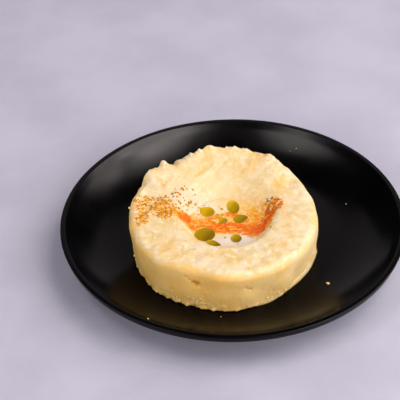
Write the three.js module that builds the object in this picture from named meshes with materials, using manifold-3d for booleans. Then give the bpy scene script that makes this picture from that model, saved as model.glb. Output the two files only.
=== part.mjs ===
// Mashed potato side: a moulded round of mashed potato on a black quarter plate. A well pressed
// into its top holds thin cream with drops of oil, and chilli and paprika flakes lie across it.
// Millimetres, +Z up. The origin is the centre of the plate's underside, on the table.

import * as THREE from 'three';
import { mergeVertices } from 'three/addons/utils/BufferGeometryUtils.js';
import Module from 'manifold-3d';

const wasm = await Module();
wasm.setup();

const CLEARANCE = 0.3; // left between pieces that touch
const FRONT = -90; // degrees about +Z; angles below are in degrees, anticlockwise from +X

// Plate: a coupe plate with a foot ring, a flat middle that curves up to the rim, and a thick lip.
const PLATE_RADIUS = 90;
const PLATE_HEIGHT = 18;
const PLATE_FLOOR_Z = 5;
const PLATE_FLOOR_RADIUS = 55;
const PLATE_WALL = 2.8;
const PLATE_BEND = 0.5; // how far out between floor and lip the curve's control point lies
const LIP_WIDTH = 2.8;
const LIP_BAND_HEIGHT = 3.6;
const LIP_BAND_TAPER = 0.9;
const LIP_ROUND = 0.6;
const FOOT_RADIUS = 56;
const FOOT_WIDTH = 4;
const FOOT_RECESS = 1.6;

// Mash: pressed in a ring mould that widens a little towards the top.
const MASH_BASE_Z = PLATE_FLOOR_Z + CLEARANCE;
const MASH_TOP_Z = 28.2;
const MASH_BASE_CENTRE = { x: -4.1, y: -10.4 };
const MASH_TOP_CENTRE = { x: -5, y: -9.4 };
const MASH_BASE_RADIUS = 48.4;
const MASH_TOP_RADIUS = 49.6;
const MASH_FOOT_ROUND = 0.5;
const MASH_SHOULDER = 4; // rounding between the side and the top, along the smooth front
const MASH_CREST = 1.4; // the same along the ragged back
const DENTS = [
  { at: -112, spread: 17, base: 0.9, top: 3.4 },
  { at: -44, spread: 26, base: 2.3, top: 0 },
  { at: 0, spread: 32, base: 0.4, top: 1.7 },
  { at: -165, spread: 38, base: 1, top: 1.2 },
];

// The back of the mash stands up in a ragged crest where the mould was pulled away.
const CREST_RISE = 5.4;
const CREST_START = { low: 28, high: 54 }; // angles between which it climbs, on the right
const CREST_END = { high: 144, low: 160 }; // and between which it falls away, on the left
const CRAGS = [
  { at: 165, spread: 8, rise: 2.2 },
  { at: 149, spread: 3.6, rise: -3.6 },
  { at: 139, spread: 4, rise: -0.4 },
  { at: 132, spread: 3, rise: -2 },
  { at: 129, spread: 2, rise: 1.4 },
  { at: 125.6, spread: 2, rise: -1.8 },
  { at: 122.3, spread: 2.2, rise: -5 },
  { at: 116, spread: 7, rise: -3 },
  { at: 106.8, spread: 1.4, rise: -1 },
  { at: 96.5, spread: 4.5, rise: 1.8 },
  { at: 79, spread: 6, rise: 1 },
  { at: 66, spread: 3.6, rise: -1.4 },
  { at: 55, spread: 4, rise: 0.4 },
  { at: 48, spread: 5, rise: -1.9 },
  { at: 20, spread: 14, rise: 0.7 },
];
const CRAG_FADE = 8; // how soon the crags die away inwards from the rim; more is sooner
const CREST_FADE = 1.3; // the same of the crest itself

// Well: pressed with the back of a spoon.
const WELL_CENTRE = { x: -3.3, y: -9.6 };
const WELL_RADIUS = 24.9;
const WELL_STRETCH = 1.2; // how much longer the well is from front to back
const WELL_SPREADS = [
  { at: 90, spread: 60, reach: 6.5 },
  { at: 18, spread: 20, reach: 2.4 },
  { at: 172, spread: 16, reach: 2 },
];
const WELL_FLOOR_Z = 15;
const WELL_STEEPNESS = { front: 3.4, back: 2.2 };
const WELL_SOFTNESS = { front: 0, back: 0.7 }; // how much the wall flattens towards the lip
const WELL_LIP_ROUND = 0.7;
const WELL_LIP_BAND = 0.12; // share of the top's width over which the lip rounds off
const WELL_LIP_RISE = 1.2; // how much higher the lip lies at the back
const CREAM_Z = 22;
const CREAM_EDGE = 0.25;
const CREAM_GAP = CLEARANCE * 1.4; // upright, which leaves the clearance square to the sloping wall

// Drops of oil on the cream: where they float, how large they are, and the way a tail points.
const OIL_DROPS = [
  { name: 'oil_drop_large', x: -14.6, y: -19.7, along: 10.2, across: 9, turn: 10, tail: 0 },
  { name: 'oil_drop_sliver', x: -10.9, y: -26.8, along: 6.4, across: 2.8, turn: -28, tail: 1.3 },
  { name: 'oil_drop_tear', x: -12.7, y: -1.9, along: 7.4, across: 7, turn: 138, tail: 1.8 },
  { name: 'oil_drop_back', x: 0.6, y: 1.4, along: 9, across: 6.3, turn: 97, tail: 0 },
  { name: 'oil_drop_right', x: 3.6, y: -8.5, along: 6.4, across: 5.8, turn: 16, tail: 1.1 },
  { name: 'oil_drop_front', x: 1, y: -23.7, along: 5.7, across: 5.4, turn: -10, tail: 0 },
  { name: 'oil_drop_small', x: -5, y: -9.4, along: 3.9, across: 3.8, turn: 10, tail: 0 },
];
const OIL_HEIGHT = 1.1;
const OIL_DOME = [ // a drop's section: share of its size, share of its height
  { size: 0.94, height: 0 },
  { size: 1, height: 0.2 },
  { size: 0.93, height: 0.55 },
  { size: 0.72, height: 0.85 },
  { size: 0.36, height: 0.98 },
];
const TAIL_SHARPNESS = 5;
const TAIL_PINCH = 0.25;

// The larger flakes, pressed into the mash; the finer ones are dust.
const FLAKE_PATCHES = [
  { x: -37, y: -5, along: 13, across: 7.5, turn: -10, count: 30 },
  { x: 21, y: -5.5, along: 3.5, across: 5.5, turn: -30, count: 16 },
];
const FLAKE_SIZE = { shortest: 1.2, longest: 2.1, thickness: 0.9 };
const FLAKE_WIDTH = { narrowest: 0.6, widest: 0.9 }; // as a share of its length
const FLAKE_TILT = 25;
const FLAKE_LIFT = 0.15; // how far a flake's middle lies above the mash

// Fineness of the faceted skins.
const PLATE_SIDES = 72;
const PLATE_CURVE_STEPS = 6;
const MASH_SIDES = 128;
const SIDE_RINGS = 6;
const SHOULDER_TURNS = [30, 60];
const TOP_SHARES = [0, 0.14, 0.3, 0.46, 0.62, 0.78, 0.9, 0.96]; // from the rim to the well's lip
const WELL_SHARES = [1, 0.93, 0.84, 0.72, 0.56, 0.38, 0.19]; // from the lip to the well's middle
const CREAM_SIDES = 64;
const CREAM_SHARES = [0.35, 0.6, 0.8, 1];
const EDGE_STEP = 0.002;
const OIL_SIDES = 20;
const WELD_DISTANCE = 1e-4;

const FINISHES = {
  plate: { color: 0x111114, roughness: 0.22 },
  mash: { color: 0xf4dca8, roughness: 0.6 },
  cream: { color: 0xece0dc, roughness: 0.25 },
  oil: { color: 0xb08c10, roughness: 0.08 },
};

const radians = THREE.MathUtils.degToRad;
const { lerp, smoothstep } = THREE.MathUtils;

// ---- Small helpers ----

function seededRandom(seed) {
  let state = seed;
  return () => {
    state = (Math.imul(state, 1664525) + 1013904223) >>> 0;
    return state / 2 ** 32;
  };
}

function sum(terms) {
  return terms.reduce((total, term) => total + term, 0);
}

function apart(angle, at) {
  const turn = (((angle - at) % 360) + 540) % 360;
  return turn - 180;
}

function bell(angle, at, spread) {
  return Math.exp(-((apart(angle, at) / spread) ** 2));
}

// Uneven lumps in space, as a sum of seeded waves: lengths and height in mm.
function lumps(seed, count, shortest, longest, height) {
  const random = seededRandom(seed);
  const waves = Array.from({ length: count }, () => {
    const length = lerp(shortest, longest, random());
    const heading = 2 * Math.PI * random();
    const rise = 2 * random() - 1;
    const level = Math.sqrt(1 - rise * rise);
    const phase = 2 * Math.PI * random();
    const direction = new THREE.Vector3(level * Math.cos(heading), level * Math.sin(heading), rise);
    return { vector: direction.multiplyScalar((2 * Math.PI) / length), phase };
  });
  const share = height / Math.sqrt(count);
  return (point) => share * sum(waves.map((wave) => Math.cos(wave.vector.dot(point) + wave.phase)));
}

// A closed skin round the Z axis. Each station gives a ring's point for an angle in degrees; the
// first and the last station are single points on the skin's bottom and top.
function closedSkin(stations, sides) {
  const profile = stations.map((_, row) => new THREE.Vector2(1, row));
  const skin = new THREE.LatheGeometry(profile, sides);
  const position = skin.attributes.position;
  for (let side = 0; side <= sides; side += 1) {
    const angle = (360 * (side % sides)) / sides;
    stations.forEach((station, row) => {
      const point = station(angle);
      position.setXYZ(side * stations.length + row, point.x, point.y, point.z);
    });
  }
  return weld(skin);
}

function weld(geometry) {
  geometry.deleteAttribute('normal');
  geometry.deleteAttribute('uv');
  const welded = mergeVertices(geometry, WELD_DISTANCE);
  const corners = welded.index.array;
  const kept = [];
  for (let start = 0; start < corners.length; start += 3) {
    const [a, b, c] = corners.slice(start, start + 3);
    if (a !== b && b !== c && c !== a) kept.push(a, b, c);
  }
  welded.setIndex(kept);
  return welded;
}

function polar(centre, radius, angle, z) {
  const turn = radians(angle);
  return new THREE.Vector3(centre.x + radius * Math.cos(turn), centre.y + radius * Math.sin(turn), z);
}

function solidOf(geometry) {
  const vertProperties = Float32Array.from(geometry.attributes.position.array);
  const triVerts = Uint32Array.from(geometry.index.array);
  return new wasm.Manifold(new wasm.Mesh({ numProp: 3, vertProperties, triVerts }));
}

function geometryOf(solid) {
  const mesh = solid.getMesh();
  const geometry = new THREE.BufferGeometry();
  geometry.setAttribute('position', new THREE.BufferAttribute(mesh.vertProperties, 3));
  geometry.setIndex(new THREE.BufferAttribute(mesh.triVerts, 1));
  return geometry;
}

function named(name, geometry, finish) {
  const mesh = new THREE.Mesh(geometry, new THREE.MeshStandardMaterial(finish));
  mesh.name = name;
  return mesh;
}

// ---- Plate ----

function plateProfile() {
  const lipInner = PLATE_RADIUS - LIP_WIDTH;
  const bandRadius = PLATE_RADIUS - LIP_BAND_TAPER;
  const bandBottom = PLATE_HEIGHT - LIP_BAND_HEIGHT;
  const floorUnder = PLATE_FLOOR_Z - PLATE_WALL;
  const bend = lerp(PLATE_FLOOR_RADIUS, lipInner, PLATE_BEND);
  const footSide = FOOT_RADIUS + floorUnder / 2;
  const profile = new THREE.Path();
  profile.moveTo(0, FOOT_RECESS);
  profile.lineTo(FOOT_RADIUS - FOOT_WIDTH - FOOT_RECESS, FOOT_RECESS);
  profile.lineTo(FOOT_RADIUS - FOOT_WIDTH, 0);
  profile.lineTo(FOOT_RADIUS, 0);
  profile.lineTo(footSide, floorUnder);
  profile.quadraticCurveTo(bend + PLATE_WALL, floorUnder, bandRadius - 2 * LIP_ROUND, bandBottom);
  profile.lineTo(bandRadius - LIP_ROUND, bandBottom);
  profile.lineTo(bandRadius, bandBottom + LIP_ROUND);
  profile.lineTo(PLATE_RADIUS, PLATE_HEIGHT - LIP_ROUND);
  profile.lineTo(PLATE_RADIUS - LIP_ROUND / 3, PLATE_HEIGHT - LIP_ROUND / 3);
  profile.lineTo(PLATE_RADIUS - LIP_ROUND, PLATE_HEIGHT);
  profile.lineTo(lipInner + LIP_ROUND, PLATE_HEIGHT);
  profile.lineTo(lipInner, PLATE_HEIGHT - LIP_ROUND);
  profile.quadraticCurveTo(bend, PLATE_FLOOR_Z, PLATE_FLOOR_RADIUS, PLATE_FLOOR_Z);
  profile.lineTo(0, PLATE_FLOOR_Z);
  return profile.getPoints(PLATE_CURVE_STEPS);
}

function makePlate() {
  const turned = new THREE.LatheGeometry(plateProfile(), PLATE_SIDES);
  turned.rotateX(Math.PI / 2);
  return named('plate', weld(turned), FINISHES.plate);
}

// ---- Mash ----

const sideLumps = lumps(11, 14, 9, 24, 0.32);
const topLumps = lumps(23, 18, 5.5, 14, 0.22);
const crestLumps = lumps(37, 12, 4.5, 10, 0.3);

// How far the rim stands up at an angle: 0 along the smooth front, 1 along the ragged back.
function raggedness(angle) {
  const turn = apart(angle, 0);
  const climb = smoothstep(turn, CREST_START.low, CREST_START.high);
  const fall = smoothstep(turn, CREST_END.high, CREST_END.low);
  return climb * (1 - fall);
}

function cragRise(angle) {
  const crags = sum(CRAGS.map(({ at, spread, rise }) => rise * bell(angle, at, spread)));
  const torn = raggedness(angle) * crestLumps(polar(MASH_TOP_CENTRE, MASH_TOP_RADIUS, angle, MASH_TOP_Z));
  return crags + torn;
}

// Radius of the moulded side at a share of its height.
function sideRadius(angle, share) {
  const depths = DENTS.map(({ at, spread, base, top }) => lerp(base, top, share) * bell(angle, at, spread));
  return lerp(MASH_BASE_RADIUS, MASH_TOP_RADIUS, share) - sum(depths);
}

function sideCentre(share) {
  return {
    x: lerp(MASH_BASE_CENTRE.x, MASH_TOP_CENTRE.x, share),
    y: lerp(MASH_BASE_CENTRE.y, MASH_TOP_CENTRE.y, share),
  };
}

function shoulder(angle) {
  return lerp(MASH_SHOULDER, MASH_CREST, raggedness(angle));
}

// A point of the moulded side, pushed in or out by its lumps; inset is measured inwards.
function sidePoint(angle, z, inset = 0) {
  const share = Math.min((z - MASH_BASE_Z) / (MASH_TOP_Z - MASH_BASE_Z), 1);
  const radius = sideRadius(angle, share) - inset;
  const centre = sideCentre(share);
  const smooth = polar(centre, radius, angle, z);
  return polar(centre, radius + sideLumps(smooth), angle, z);
}

function rimZ(angle) {
  return MASH_TOP_Z + CREST_RISE * raggedness(angle) + cragRise(angle);
}

function wellReach(angle) {
  const spreads = WELL_SPREADS.map(({ at, spread, reach }) => reach * bell(angle, at, spread));
  return WELL_RADIUS + WELL_STRETCH * Math.cos(radians(2 * (angle - FRONT))) + sum(spreads);
}

function wellLipZ(angle) {
  return MASH_TOP_Z + WELL_LIP_RISE * raggedness(angle) - WELL_LIP_ROUND;
}

// Height of the well's wall at a share of its reach, 0 at the middle and 1 at the lip. The wall is
// steep towards the front and opens out gently towards the back.
function wellZ(angle, share) {
  const front = 0.5 + 0.5 * Math.cos(radians(angle - FRONT));
  const steepness = lerp(WELL_STEEPNESS.back, WELL_STEEPNESS.front, front);
  const softness = lerp(WELL_SOFTNESS.back, WELL_SOFTNESS.front, front);
  const climb = share ** steepness * (1 + softness * steepness * (1 - share));
  return lerp(WELL_FLOOR_Z, wellLipZ(angle), climb);
}

// The broad top between the rim, at share 0, and the well's lip, at share 1.
function topPoint(angle, share) {
  const outer = sidePoint(angle, rimZ(angle), shoulder(angle));
  const lip = polar(WELL_CENTRE, wellReach(angle), angle, wellLipZ(angle));
  const point = outer.clone().lerp(lip, share);
  const crest = lerp(lip.z, outer.z - cragRise(angle), (1 - share) ** CREST_FADE);
  const crags = cragRise(angle) * (1 - share) ** CRAG_FADE;
  const rounding = WELL_LIP_ROUND * smoothstep(1 - share, 0, WELL_LIP_BAND) * (1 - (1 - share) ** 3);
  const uneven = topLumps(point) * Math.sin(Math.PI * Math.min(share + WELL_LIP_BAND, 1));
  point.z = crest + crags + rounding + uneven;
  return point;
}

function shoulderPoint(angle, turn) {
  const inset = shoulder(angle) * (1 - Math.cos(radians(turn)));
  const drop = shoulder(angle) * (1 - Math.sin(radians(turn)));
  return sidePoint(angle, rimZ(angle) - drop, inset);
}

function wallPoint(angle, row) {
  const top = rimZ(angle) - shoulder(angle);
  return sidePoint(angle, lerp(MASH_BASE_Z + MASH_FOOT_ROUND, top, row / (SIDE_RINGS - 1)));
}

function wellPoint(angle, share) {
  return polar(WELL_CENTRE, wellReach(angle) * share, angle, wellZ(angle, share));
}

function mashStations() {
  const rows = Array.from({ length: SIDE_RINGS }, (_, row) => row);
  return [
    () => polar(MASH_BASE_CENTRE, 0, 0, MASH_BASE_Z),
    (angle) => sidePoint(angle, MASH_BASE_Z, MASH_FOOT_ROUND),
    ...rows.map((row) => (angle) => wallPoint(angle, row)),
    ...SHOULDER_TURNS.map((turn) => (angle) => shoulderPoint(angle, turn)),
    ...TOP_SHARES.map((share) => (angle) => topPoint(angle, share)),
    ...WELL_SHARES.map((share) => (angle) => wellPoint(angle, share)),
    () => polar(WELL_CENTRE, 0, 0, WELL_FLOOR_Z),
  ];
}

// The height of the mash's top above a place in plan, found along the line from the well's middle.
function surfaceAt(x, y) {
  const angle = THREE.MathUtils.radToDeg(Math.atan2(y - WELL_CENTRE.y, x - WELL_CENTRE.x));
  const distance = Math.hypot(x - WELL_CENTRE.x, y - WELL_CENTRE.y);
  const reach = wellReach(angle);
  if (distance < reach) return wellZ(angle, distance / reach);
  const outer = sidePoint(angle, rimZ(angle), shoulder(angle));
  const width = Math.hypot(outer.x - WELL_CENTRE.x, outer.y - WELL_CENTRE.y) - reach;
  return topPoint(angle, THREE.MathUtils.clamp(1 - (distance - reach) / width, 0, 1)).z;
}

// A place in an oval patch: evenly spread, then turned and moved with the patch.
function placeIn(patch, random) {
  const spread = Math.sqrt(random());
  const heading = 2 * Math.PI * random();
  const place = new THREE.Vector2(patch.along * Math.cos(heading), patch.across * Math.sin(heading));
  place.multiplyScalar(spread);
  place.rotateAround(new THREE.Vector2(0, 0), radians(patch.turn));
  return place.add(new THREE.Vector2(patch.x, patch.y));
}

function makeFlake(patch, random) {
  const place = placeIn(patch, random);
  const length = lerp(FLAKE_SIZE.shortest, FLAKE_SIZE.longest, random());
  const width = length * lerp(FLAKE_WIDTH.narrowest, FLAKE_WIDTH.widest, random());
  const flake = new THREE.OctahedronGeometry(0.5, 0);
  flake.scale(length, width, FLAKE_SIZE.thickness);
  flake.rotateX(radians(lerp(-FLAKE_TILT, FLAKE_TILT, random())));
  flake.rotateZ(2 * Math.PI * random());
  flake.translate(place.x, place.y, surfaceAt(place.x, place.y) + FLAKE_LIFT);
  return solidOf(weld(flake));
}

function makeMash() {
  const random = seededRandom(5);
  const flakes = FLAKE_PATCHES.flatMap((patch) => (
    Array.from({ length: patch.count }, () => makeFlake(patch, random))));
  const round = solidOf(closedSkin(mashStations(), MASH_SIDES));
  const bodies = wasm.Manifold.union([round, ...flakes]).decompose();
  const [largest] = bodies.sort((one, other) => other.volume() - one.volume());
  return named('mash', geometryOf(largest), FINISHES.mash);
}

// ---- Cream and oil ----

// Share of the well's reach at which its wall meets the cream's edge.
function creamShare(angle) {
  let share = 0;
  while (wellZ(angle, share) + CREAM_GAP < CREAM_Z - CREAM_EDGE) share += EDGE_STEP;
  return share;
}

function makeCream() {
  const under = CREAM_SHARES.map((part) => (angle) => {
    const point = wellPoint(angle, part * creamShare(angle));
    point.z += CREAM_GAP;
    return point;
  });
  const stations = [
    () => polar(WELL_CENTRE, 0, 0, WELL_FLOOR_Z + CREAM_GAP),
    ...under,
    (angle) => polar(WELL_CENTRE, wellReach(angle) * creamShare(angle), angle, CREAM_Z),
    () => polar(WELL_CENTRE, 0, 0, CREAM_Z),
  ];
  return named('cream_pool', closedSkin(stations, CREAM_SIDES), FINISHES.cream);
}

// A flat drop with a domed top; its tail draws one end out to a point.
function makeOilDrop({ name, x, y, along, across, turn, tail }) {
  const ring = ({ size, height }) => (angle) => {
    const forward = Math.max(Math.cos(radians(angle)), 0) ** TAIL_SHARPNESS;
    const pinch = 1 - TAIL_PINCH * forward * Math.sign(tail);
    const point = new THREE.Vector3();
    point.x = size * (0.5 * along * Math.cos(radians(angle)) + tail * forward);
    point.y = size * 0.5 * across * Math.sin(radians(angle)) * pinch;
    point.z = height * OIL_HEIGHT;
    return point;
  };
  const bottom = () => new THREE.Vector3(0, 0, 0);
  const top = () => new THREE.Vector3(0, 0, OIL_HEIGHT);
  const drop = named(name, closedSkin([bottom, ...OIL_DOME.map(ring), top], OIL_SIDES), FINISHES.oil);
  drop.position.set(x, y, CREAM_Z + CLEARANCE);
  drop.rotation.z = radians(turn);
  return drop;
}

const side = new THREE.Group();
side.add(makePlate(), makeMash(), makeCream(), ...OIL_DROPS.map(makeOilDrop));

export default side;
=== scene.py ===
import math
from functools import lru_cache

import bmesh
import bpy
from mathutils import Matrix, Vector, noise
from mathutils.bvhtree import BVHTree


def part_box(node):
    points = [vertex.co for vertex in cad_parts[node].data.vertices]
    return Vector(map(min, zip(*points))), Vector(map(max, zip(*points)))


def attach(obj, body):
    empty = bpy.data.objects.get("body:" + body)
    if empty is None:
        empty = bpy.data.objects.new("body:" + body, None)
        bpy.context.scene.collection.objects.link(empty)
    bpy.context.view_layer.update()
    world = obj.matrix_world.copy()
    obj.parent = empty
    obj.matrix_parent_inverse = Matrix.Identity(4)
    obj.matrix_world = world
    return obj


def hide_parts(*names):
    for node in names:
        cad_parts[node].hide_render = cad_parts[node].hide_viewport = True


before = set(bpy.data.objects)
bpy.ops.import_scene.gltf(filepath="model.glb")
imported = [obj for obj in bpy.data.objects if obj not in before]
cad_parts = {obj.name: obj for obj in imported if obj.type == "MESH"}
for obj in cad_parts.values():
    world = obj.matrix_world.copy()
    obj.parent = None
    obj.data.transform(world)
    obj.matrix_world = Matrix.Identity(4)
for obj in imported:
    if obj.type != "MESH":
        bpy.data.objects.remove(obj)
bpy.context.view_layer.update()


# ---- Plate ----
# A black melamine coupe plate, pressed in one piece in a hot mould. Its flat middle curves up to a
# thick lip with crisp edges, and a narrow ring underneath is its foot. The gloss is a little dulled
# by use.

MM = 0.001
PLATE_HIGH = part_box("plate")[1]
PLATE_RADIUS = PLATE_HIGH.x
PLATE_HEIGHT = PLATE_HIGH.z
FLOOR_Z = 5 * MM
FLOOR_RADIUS = 55 * MM
PLATE_WALL = 2.8 * MM
PLATE_BEND = 0.5  # how far out between floor and lip the curve's middle point lies
LIP_WIDTH = 2.8 * MM
LIP_BAND_HEIGHT = 3.6 * MM
LIP_BAND_TAPER = 0.9 * MM
LIP_ROUND = 0.45 * MM
FOOT_RADIUS = 56 * MM
FOOT_WIDTH = 4 * MM
FOOT_RECESS = 1.6 * MM
FOOT_ROUND = 0.5 * MM
PLATE_STEPS = 192
CURVE_STEPS = 14
scene = bpy.context.scene


def curve(start, bend, end):
    """Points along a quadratic curve, without its start."""
    points = []
    for step in range(1, CURVE_STEPS + 1):
        share = step / CURVE_STEPS
        first = Vector(start).lerp(Vector(bend), share)
        second = Vector(bend).lerp(Vector(end), share)
        points.append(first.lerp(second, share))
    return points


def plate_profile():
    lip_inner = PLATE_RADIUS - LIP_WIDTH
    band = PLATE_RADIUS - LIP_BAND_TAPER
    band_z = PLATE_HEIGHT - LIP_BAND_HEIGHT
    under_z = FLOOR_Z - PLATE_WALL
    bend = FLOOR_RADIUS + PLATE_BEND * (lip_inner - FLOOR_RADIUS)
    foot_side = FOOT_RADIUS + under_z / 2
    profile = [(0, FOOT_RECESS), (FOOT_RADIUS - FOOT_WIDTH - FOOT_RECESS, FOOT_RECESS)]
    profile += [(FOOT_RADIUS - FOOT_WIDTH, 0), (FOOT_RADIUS, 0), (foot_side, under_z)]
    profile += curve((foot_side, under_z), (bend + PLATE_WALL, under_z), (band - 2 * LIP_ROUND, band_z))
    profile += [(band, band_z), (PLATE_RADIUS, PLATE_HEIGHT), (lip_inner, PLATE_HEIGHT)]
    profile += curve((lip_inner, PLATE_HEIGHT - LIP_ROUND), (bend, FLOOR_Z), (FLOOR_RADIUS, FLOOR_Z))
    profile += [(FLOOR_RADIUS * share, FLOOR_Z) for share in (0.8, 0.5, 0.2, 0)]
    return profile


def spun(profile, steps):
    """A closed shape: points of radius and height, turned once round the Z axis."""
    shape = bmesh.new()
    points = [shape.verts.new((radius, 0, z)) for radius, z in profile]
    edges = [shape.edges.new(pair) for pair in zip(points, points[1:])]
    bmesh.ops.spin(shape, geom=points + edges, cent=(0, 0, 0), axis=(0, 0, 1), dvec=(0, 0, 0),
                   angle=2 * math.pi, steps=steps, use_merge=True)
    bmesh.ops.remove_doubles(shape, verts=shape.verts, dist=0.001 * MM)
    bmesh.ops.recalc_face_normals(shape, faces=shape.faces)
    return shape


def ring_edges(shape, radius, z):
    """The edges of the ring that runs round at this radius and height."""
    near = 0.01 * MM
    ring = {v for v in shape.verts if abs(v.co.xy.length - radius) < near and abs(v.co.z - z) < near}
    return [edge for edge in shape.edges if ring.issuperset(edge.verts)]


def formed(name, shape, material):
    """A smooth-shaded object of a shape."""
    mesh = bpy.data.meshes.new(name)
    shape.to_mesh(mesh)
    shape.free()
    mesh.shade_smooth()
    mesh.materials.append(material)
    piece = bpy.data.objects.new(name, mesh)
    scene.collection.objects.link(piece)
    return piece


def made(name, shape, material):
    """A piece of the part: a formed object that rides on it."""
    piece = formed(name, shape, material)
    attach(piece, "root")
    return piece


def srgb(red, green, blue):
    """A colour as seen, 0 to 255 each, as the linear colour that a shader takes."""
    parts = [value / 255 for value in (red, green, blue)]
    return (*[part / 12.92 if part <= 0.04045 else ((part + 0.055) / 1.055) ** 2.4 for part in parts], 1)


def feed(target, inputs):
    """Gives a shader node its inputs: a socket is linked and a plain value is set."""
    for key, value in inputs.items():
        if isinstance(value, bpy.types.NodeSocket):
            target.id_data.links.new(value, target.inputs[key])
        else:
            target.inputs[key].default_value = value


def node(tree, kind, inputs=None, **settings):
    """A shader node with its settings and its inputs."""
    new = tree.nodes.new(kind)
    for key, value in settings.items():
        setattr(new, key, value)
    feed(new, inputs or {})
    return new


def maths(tree, operation, first, second):
    return node(tree, "ShaderNodeMath", {0: first, 1: second}, operation=operation).outputs[0]


def times(tree, first, second):
    return maths(tree, "MULTIPLY", first, second)


def ranged(tree, value, low, high, to_low=0.0, to_high=1.0):
    """A value mapped smoothly from one range to another."""
    inputs = {"Value": value, "From Min": low, "From Max": high, "To Min": to_low, "To Max": to_high}
    return node(tree, "ShaderNodeMapRange", inputs, interpolation_type="SMOOTHSTEP").outputs[0]


def mixed(tree, share, first, second):
    """A colour between two colours."""
    inputs = {0: share, 6: first, 7: second}
    return node(tree, "ShaderNodeMix", inputs, data_type="RGBA").outputs[2]


def grain(tree, where, size, detail=3.0, distortion=0.0):
    """Cloudy noise from 0 to 1, with lumps of about this size in mm."""
    inputs = {"Vector": where, "Scale": 1 / (size * MM), "Detail": detail, "Distortion": distortion}
    return node(tree, "ShaderNodeTexNoise", inputs).outputs["Fac"]


def bumped(tree, height, depth):
    """A normal that follows a height from 0 to 1, of this depth in mm."""
    inputs = {"Height": height, "Distance": depth * MM, "Strength": 1.0}
    return node(tree, "ShaderNodeBump", inputs).outputs[0]


def new_material(name):
    """A material with its tree, its shader and the object's own coordinates."""
    material = bpy.data.materials.new(name)
    material.use_nodes = True
    tree = material.node_tree
    shader = tree.nodes["Principled BSDF"]
    where = node(tree, "ShaderNodeTexCoord").outputs["Object"]
    return material, tree, shader, where


MELAMINE = (srgb(1, 1, 2), srgb(4, 3, 5))
MELAMINE_ROUGHNESS = (0.17, 0.23)


def black_melamine():
    material, tree, shader, where = new_material("black_melamine")
    cloud = grain(tree, where, 18)
    peel = grain(tree, where, 1.1, detail=2)
    feed(shader, {
        "Base Color": mixed(tree, cloud, *MELAMINE),
        "Roughness": ranged(tree, cloud, 0.3, 0.7, *MELAMINE_ROUGHNESS),
        "Normal": bumped(tree, peel, 0.004),
        "Specular IOR Level": 0.07,
    })
    return material


plate_shape = spun(plate_profile(), PLATE_STEPS)
lip_corners = ((PLATE_RADIUS, PLATE_HEIGHT), (PLATE_RADIUS - LIP_WIDTH, PLATE_HEIGHT),
               (PLATE_RADIUS - LIP_BAND_TAPER, PLATE_HEIGHT - LIP_BAND_HEIGHT))
for radius, z in lip_corners:
    bmesh.ops.bevel(plate_shape, geom=ring_edges(plate_shape, radius, z), offset=LIP_ROUND,
                    segments=4, profile=0.5, affect="EDGES", material=-1)
for radius in (FOOT_RADIUS, FOOT_RADIUS - FOOT_WIDTH):
    bmesh.ops.bevel(plate_shape, geom=ring_edges(plate_shape, radius, 0), offset=FOOT_ROUND,
                    segments=3, profile=0.5, affect="EDGES", material=-1)
plate = made("coupe_plate", plate_shape, black_melamine())
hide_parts("plate")


# ---- Mash ----
# Mashed potato pressed in a ring mould and turned out: a smooth side with a few air pits and a
# crumbly foot, a broad top that a spoon has hollowed into a well, and a back edge that tore up into
# a ragged crest as the ring came off. Sizes are in mm until the skin is made.

BASE_Z = 5.3
CONTACT = 0.25  # how far the soft foot sinks below the clear base, onto the plate
TOP_Z = 28.2
BASE_CENTRE = Vector((-4.1, -10.4))
TOP_CENTRE = Vector((-5, -9.4))
BASE_RADIUS = 48.4
TOP_RADIUS = 49.6
MASH_FOOT_ROUND = 0.5
SHOULDER = 4
CREST = 1.4
DENTS = (  # angle, spread, depth at the base, depth at the top
    (-112, 17, 0.9, 3.4),
    (-44, 26, 2.3, 0),
    (0, 32, 0.4, 1.7),
    (-165, 38, 1, 1.2),
)
CREST_RISE = 5.4
CREST_START = (28, 54)
CREST_END = (144, 160)
CRAGS = (  # angle, spread, rise
    (165, 8, 2.2),
    (149, 3.6, -3.6),
    (139, 4, -0.4),
    (132, 3, -2),
    (129, 2, 1.4),
    (125.6, 2, -1.8),
    (122.3, 2.2, -5),
    (116, 7, -3),
    (106.8, 1.4, -1),
    (96.5, 4.5, 1.8),
    (79, 6, 1),
    (66, 3.6, -1.4),
    (55, 4, 0.4),
    (48, 5, -1.9),
    (20, 14, 0.7),
)
CREST_NIBS = (  # angle, spread, rise of the sharpest torn points
    (158, 2, 0.6),
    (140, 0.9, 0.9),
    (113, 1.5, 0.5),
    (109.2, 0.8, 1.3),
    (103.4, 1.4, 1.3),
    (85.6, 0.8, 1.1),
    (80.2, 1, 1.1),
    (72.4, 1.4, 1.1),
)
CRAG_FADE = 8
CREST_FADE = 1.3
WELL_CENTRE = Vector((-3.3, -9.6))
WELL_RADIUS = 24.9
WELL_STRETCH = 1.2
WELL_SPREADS = ((90, 60, 6.5), (18, 20, 2.4), (172, 16, 2))  # angle, spread, reach
WELL_FLOOR_Z = 15
WELL_STEEPNESS = (2.2, 3.4)  # at the back, at the front
WELL_SOFTNESS = (0.7, 0)
WELL_LIP_ROUND = 0.7
WELL_LIP_BAND = 0.12
WELL_LIP_RISE = 1.2
WELL_LIP_EASED = (0.88, 1.1)  # shares of the well's reach between which its lip is smoothed
WELL_LIP_EASINGS = 14
CREAM_Z = 22
CREAM_GAP = 0.42
CREAM_EDGE = 0.25
EDGE_STEP = 0.002
FRONT = -90
ORIGIN = Vector((0, 0))
MASH_STEPS = 640
SIDE_RINGS = 34
SHOULDER_RINGS = 9
TOP_RINGS = 48
WELL_RINGS = 36
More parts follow.
